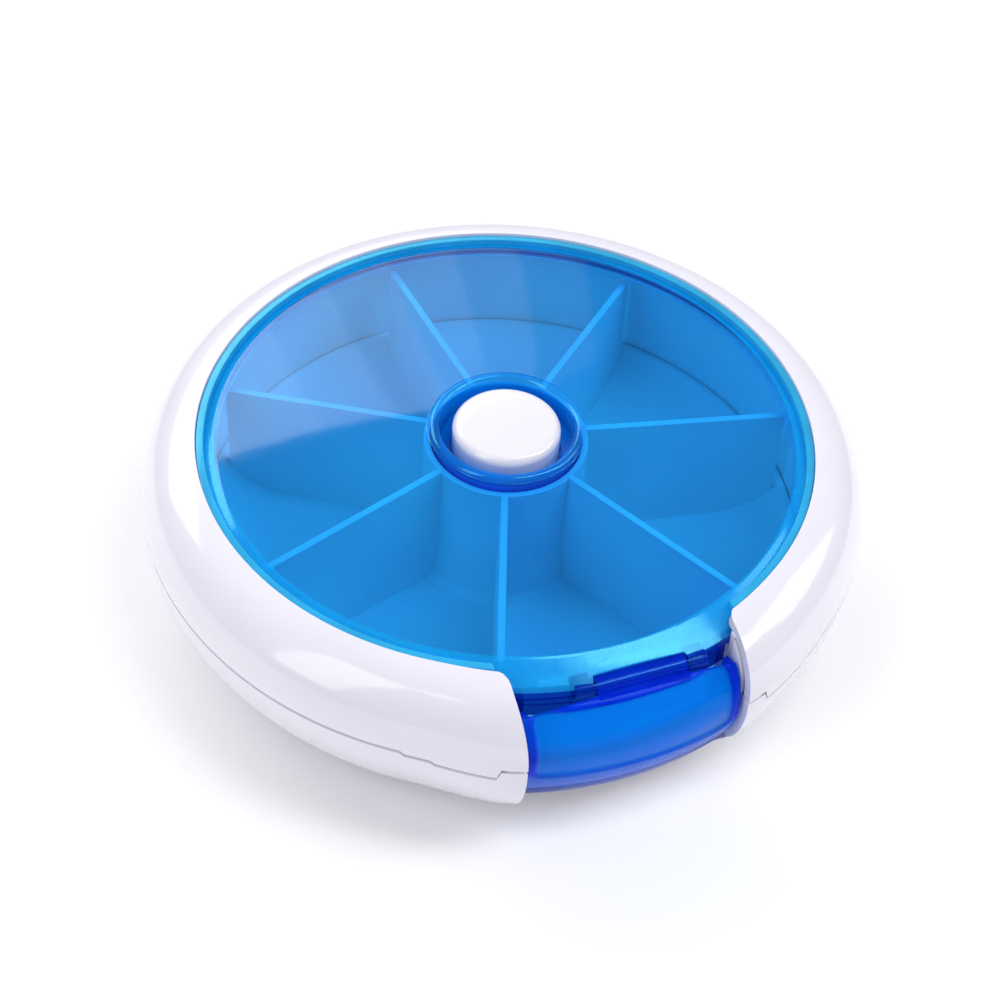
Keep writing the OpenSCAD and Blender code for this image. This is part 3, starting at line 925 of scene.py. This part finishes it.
def steel(name, colour, roughness):
    """Drawn steel wire, with fine lines and uneven gloss."""
    material, tree, out = start_material(name)
    shader = add_node(tree, "BsdfPrincipled", Metallic=1.0)
    drift = spread(tree, noise_at(tree, 1.5, 3), 0, 1)
    darker = tuple(c * 0.85 for c in colour)
    tree.links.new(mix_colours(tree, drift, colour, darker), shader.inputs["Base Color"])
    tree.links.new(spread(tree, noise_at(tree, 0.3, 3), roughness - 0.04, roughness + 0.05),
                   shader.inputs["Roughness"])
    tree.links.new(bump(tree, noise_at(tree, 0.4, 2), 0.001, 0.3), shader.inputs["Normal"])
    tree.links.new(shader.outputs[0], out.inputs[0])
    return material


def paint(piece, *materials):
    """Gives a piece its materials: the first is for all the faces that paint_faces doesn't choose."""
    for material in materials:
        piece.data.materials.append(material)


def paint_faces(piece, material_index, chosen):
    """Gives a material to the faces whose middle, as (r, x, y, z) in millimetres, is chosen."""
    for face in piece.data.polygons:
        x, y, z = face.center / MM
        if chosen(math.hypot(x, y), x, y, z):
            face.material_index = material_index


# ---- stage ----

def build_floor():
    """A plain pale floor."""
    bm = bmesh.new()
    bmesh.ops.create_grid(bm, x_segments=2, y_segments=2, size=FLOOR_HALF)
    floor = make_object("floor", bm)
    material, tree, out = start_material("pale_floor")
    shader = add_node(tree, "BsdfPrincipled", Roughness=0.7, Specular_IOR_Level=0.1)
    drift = spread(tree, noise_at(tree, 120, 2), 0, 1)
    tree.links.new(mix_colours(tree, drift, (0.95, 0.95, 0.955), (0.94, 0.94, 0.95)),
                   shader.inputs["Base Color"])
    tree.links.new(shader.outputs[0], out.inputs[0])
    paint(floor, material)


def add_softbox(name, place, aim, size, power):
    """A rectangular area light at place, pointed at aim, both in millimetres."""
    light = bpy.data.lights.new(name, "AREA")
    light.shape = "RECTANGLE"
    light.size, light.size_y = size[0] * MM, size[1] * MM
    light.energy = power
    lamp = bpy.data.objects.new(name, light)
    bpy.context.scene.collection.objects.link(lamp)
    where = Vector(place) * MM
    look = Vector(aim) * MM - where
    lamp.matrix_world = Matrix.Translation(where) @ look.to_track_quat("-Z", "Y").to_matrix().to_4x4()


def build_lights():
    """Soft studio light: a white room, a fading window behind and three softboxes in front."""
    add_softbox("window", (-202, 487, 387), (-119, -8, 23), (482, 229), 1.5)
    fading = (0.85, 0.7, 0.55, 0.4, 0.25, 0.1)
    for step, share in enumerate(fading):
        place = (55 + 38 * step, 530 + 6.4 * step, 387)
        aim = (place[0] + 83, place[1] - 495, 23)
        add_softbox(f"window_fade_{step}", place, aim, (39, 229), 0.121 * share)
    add_softbox("overhead", (300, -165, 575), (0, -39, 21), (150, 590), 1.75)
    add_softbox("front_left", (-460, -146, 386), (-32, -32, 21), (210, 560), 1.15)
    add_softbox("right", (480, -60, 360), (0, 0, 15), (260, 260), 0.7)
    world = bpy.data.worlds.new("studio")
    bpy.context.scene.world = world
    world.use_nodes = True
    tree = world.node_tree
    tree.nodes.clear()
    out = add_node(tree, "OutputWorld")
    seen = add_node(tree, "Background", Color=(1, 1, 1, 1), Strength=1.0)
    lit = add_node(tree, "Background", Color=(0.96, 0.96, 1.0, 1), Strength=0.5)
    mirrored = add_node(tree, "Background", Color=(0.7, 0.85, 1.0, 1), Strength=0.18)
    rays = add_node(tree, "LightPath")
    shine = mix_shaders(tree, rays.outputs["Is Glossy Ray"], lit, mirrored)
    view = mix_shaders(tree, rays.outputs["Is Camera Ray"], shine, seen)
    tree.links.new(view.outputs[0], out.inputs[0])


def build_camera():
    """The camera: it looks down at the window's middle from in front, a little to the left."""
    elevation, turn = math.radians(43.99), math.radians(-23.3)
    roll, tilt, pan = math.radians(3.9), math.radians(2.06), math.radians(-0.19)
    distance = 246.3
    back = Vector((0, -math.cos(elevation), math.sin(elevation)))
    up = Vector((0, math.sin(elevation), math.cos(elevation)))
    level = Matrix((Vector((1, 0, 0)), up, back))
    spin = Matrix(((math.cos(roll), math.sin(roll), 0), (-math.sin(roll), math.cos(roll), 0),
                   (0, 0, 1)))
    nod = Matrix.Rotation(tilt, 3, "X")
    sway = Matrix.Rotation(pan, 3, "Y")
    to_camera = nod @ sway @ spin @ level
    around = Matrix.Rotation(turn, 3, "Z")
    camera = bpy.data.objects.new("camera", bpy.data.cameras.new("camera"))
    camera.data.lens = 72.19
    camera.data.sensor_width = 36
    camera.data.clip_start = 0.01
    place = around @ (back * distance) + Vector((0, 0, WINDOW_Z))
    camera.matrix_world = Matrix.Translation(place * MM) @ (around @ to_camera.transposed()).to_4x4()
    bpy.context.scene.collection.objects.link(camera)
    bpy.context.scene.camera = camera


# ---- the whole scene ----

def fit(piece, body, slot, material, *nodes):
    """Gives a piece its body and material, and hides the CAD nodes that it stands for. slot is not used.
    """
    paint(piece, *(material if isinstance(material, list) else [material]))
    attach(piece, body)
    if nodes:
        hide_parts(*nodes)


def build_pieces():
    """Every piece of the organizer, with its material and the body that it rides on."""
    casing = plastic("white_casing", (0.76, 0.745, 0.825), 0.36, coat=1.0)
    fit(build_base(), "casing", "casing_lower", casing, "base_shell")
    fit(build_top(), "casing", "casing_upper", casing, "upper_shell")
    inner = plastic("white_inner", (0.86, 0.87, 0.90), 0.45, grain_height=0.0015)
    fit(build_ring(), "casing", "casing_lower", inner)

    clear = clear_plastic("clear_blue", (0.36, 0.775, 1.0))
    bright = (0.25, 0.9, 1.0)
    # Painted highlight: the bevel band gets a milky body, paler and brighter than the clear plate,
    # standing in for the bright reflection along the band.
    rim = plastic_with_painted_shading("bevel_painted_highlight", (0.42, 0.84, 1.0), [(0.0, 0.4, 0.97)], 0.45, 0.09, bright, 1.0)
    # Painted highlight: the raised ring on the bevel gets a bright cyan body that stands in for the
    # bright band of light along the cover's edge.
    edge = plastic_with_painted_shading("rim_ring_painted_highlight", (0.6, 0.92, 1.0), [(0.06, 0.64, 1.0)], 0.55, 0.08, bright, 1.0)
    # Painted shade: the well round the button gets a deep blue body, darker than the clear plate,
    # standing in for the shade in the pit.
    well = plastic_with_painted_shading("well_painted_shade", (0.3, 0.7, 1.0), [(0.0, 0.34, 1.0)], 0.6)
    # Painted light: the bead round the well gets a milky mid-blue body that makes the ring show lighter
    # than the well behind it.
    bead = plastic_with_painted_shading("bead_painted_light", (0.42, 0.8, 1.0), [(0.01, 0.26, 0.9)], 0.4, 0.08, bright, 1.0)
    # Painted shade: a navy body for the front skirt, the apron and the hinge lugs, standing in for the
    # shadowed gap under the cover's edge above the door.
    skirt = plastic_with_painted_shading("skirt_painted_shade", (0.3, 0.6, 1.0), [(0.0, 0.03, 0.45)], 0.6)
    cover, lugs = build_cover()
    fit(cover, "casing", "cover_clear", [clear, rim, well, bead, skirt, edge], "cover")
    # The bevel band takes the painted-highlight material.
    paint_faces(cover, 1, lambda r, x, y, z: r > PLATE_R + 0.1)
    # The well's faces take the painted-shade blue.
    paint_faces(cover, 2, lambda r, x, y, z: r < WELL_R + WELL_WALL + 0.1 and z < COLLAR_Z - 0.1)
    # The bead's faces take the painted-light blue.
    paint_faces(cover, 3, lambda r, x, y, z: r < WELL_R + 2 * BEAD_R + 0.1 and z > COLLAR_Z - 0.1)
    # The skirt and apron above the door take the painted-shade navy.
    paint_faces(cover, 4, lambda r, x, y, z: r > BEVEL_R - 1.5 and z < BEVEL_Z - 0.15 and y < -30)
    # The raised ring's faces take the painted-highlight cyan.
    paint_faces(cover, 5, lambda r, x, y, z: RIM[0] - 0.1 < r < RIM[1] + 0.1 and z > BEVEL_Z + 0.15
                and abs(z - PLATE_Z + (r - PLATE_R) * BEVEL_FALL) > 0.05)
    # The lugs take the same painted-shade navy.
    fit(lugs, "casing", "cover_clear", skirt)
    door, knuckle = build_door()
    # The one clear door moulding gets tones by region: a deep frame, a lighter lower lip, a paler panel
    # and a strip along the panel's top. The strip's own tone is painted light: it stands in for the tray
    # seen through the door.
    door_tones_with_painted_light = [(0.0, 0.035, 0.86), (0.02, 0.20, 0.90), (0.0, 0.25, 0.92), (0.0, 0.23, 0.88)]
    door_blue_painted_light = plastic_with_painted_shading("door_blue_painted_light", (0.3, 0.65, 1.0), door_tones_with_painted_light, 0.55)
    # Painted shade: the knuckle gets a deep navy body, darker than the door's plastic, standing in for
    # the shade under the cover's edge.
    knuckle_painted_shade = plastic_with_painted_shading("knuckle_painted_shade", (0.25, 0.6, 1.0), [(0.0, 0.03, 0.75)])
    pin_steel = steel("pin_steel", (0.70, 0.71, 0.73), 0.28)
    fit(door, "door", "door_clear", door_blue_painted_light, "door")
    fit(knuckle, "door", "door_clear", knuckle_painted_shade)
    fit(build_pin(), "casing", "pin_steel", pin_steel, "door_hinge_pin")

    tray_white = plastic("tray_plastic", (0.88, 0.89, 0.92), 0.5, grain_height=0.0015)
    button_white = plastic("button_plastic", (0.78, 0.77, 0.84), 0.36, coat=1.0)
    spring_steel = steel("spring_wire", (0.66, 0.67, 0.69), 0.25)
    fit(build_tray(), "tray", "tray", tray_white, "tray")
    fit(build_button(), "button", "button", button_white, "button_cap")
    fit(build_spring(), "casing", "spring_steel", spring_steel, "return_spring")
    acetal = {
        "bearing_washer": ("casing", "washer", (0.78, 0.78, 0.77)),
        "index_spring": ("casing", "index_spring", (0.74, 0.77, 0.80)),
        "rotor_retaining_ring": ("tray", "retaining_ring", (0.78, 0.79, 0.82)),
        "drive_rotor": ("rotor", "drive", (0.80, 0.80, 0.83)),
        "plunger": ("button", "plunger", (0.82, 0.82, 0.85)),
    }
    for node, (body, slot, colour) in acetal.items():
        rounding = 0.0 if node == "drive_rotor" else 0.08
        material = plastic(node + "_acetal", colour, 0.42)
        fit(softened(node, node + "_piece", rounding), body, slot, material, node)


build_pieces()
build_floor()
build_lights()
build_camera()
bpy.context.scene.view_settings.view_transform = "Standard"
bpy.context.scene.cycles.transparent_max_bounces = 32
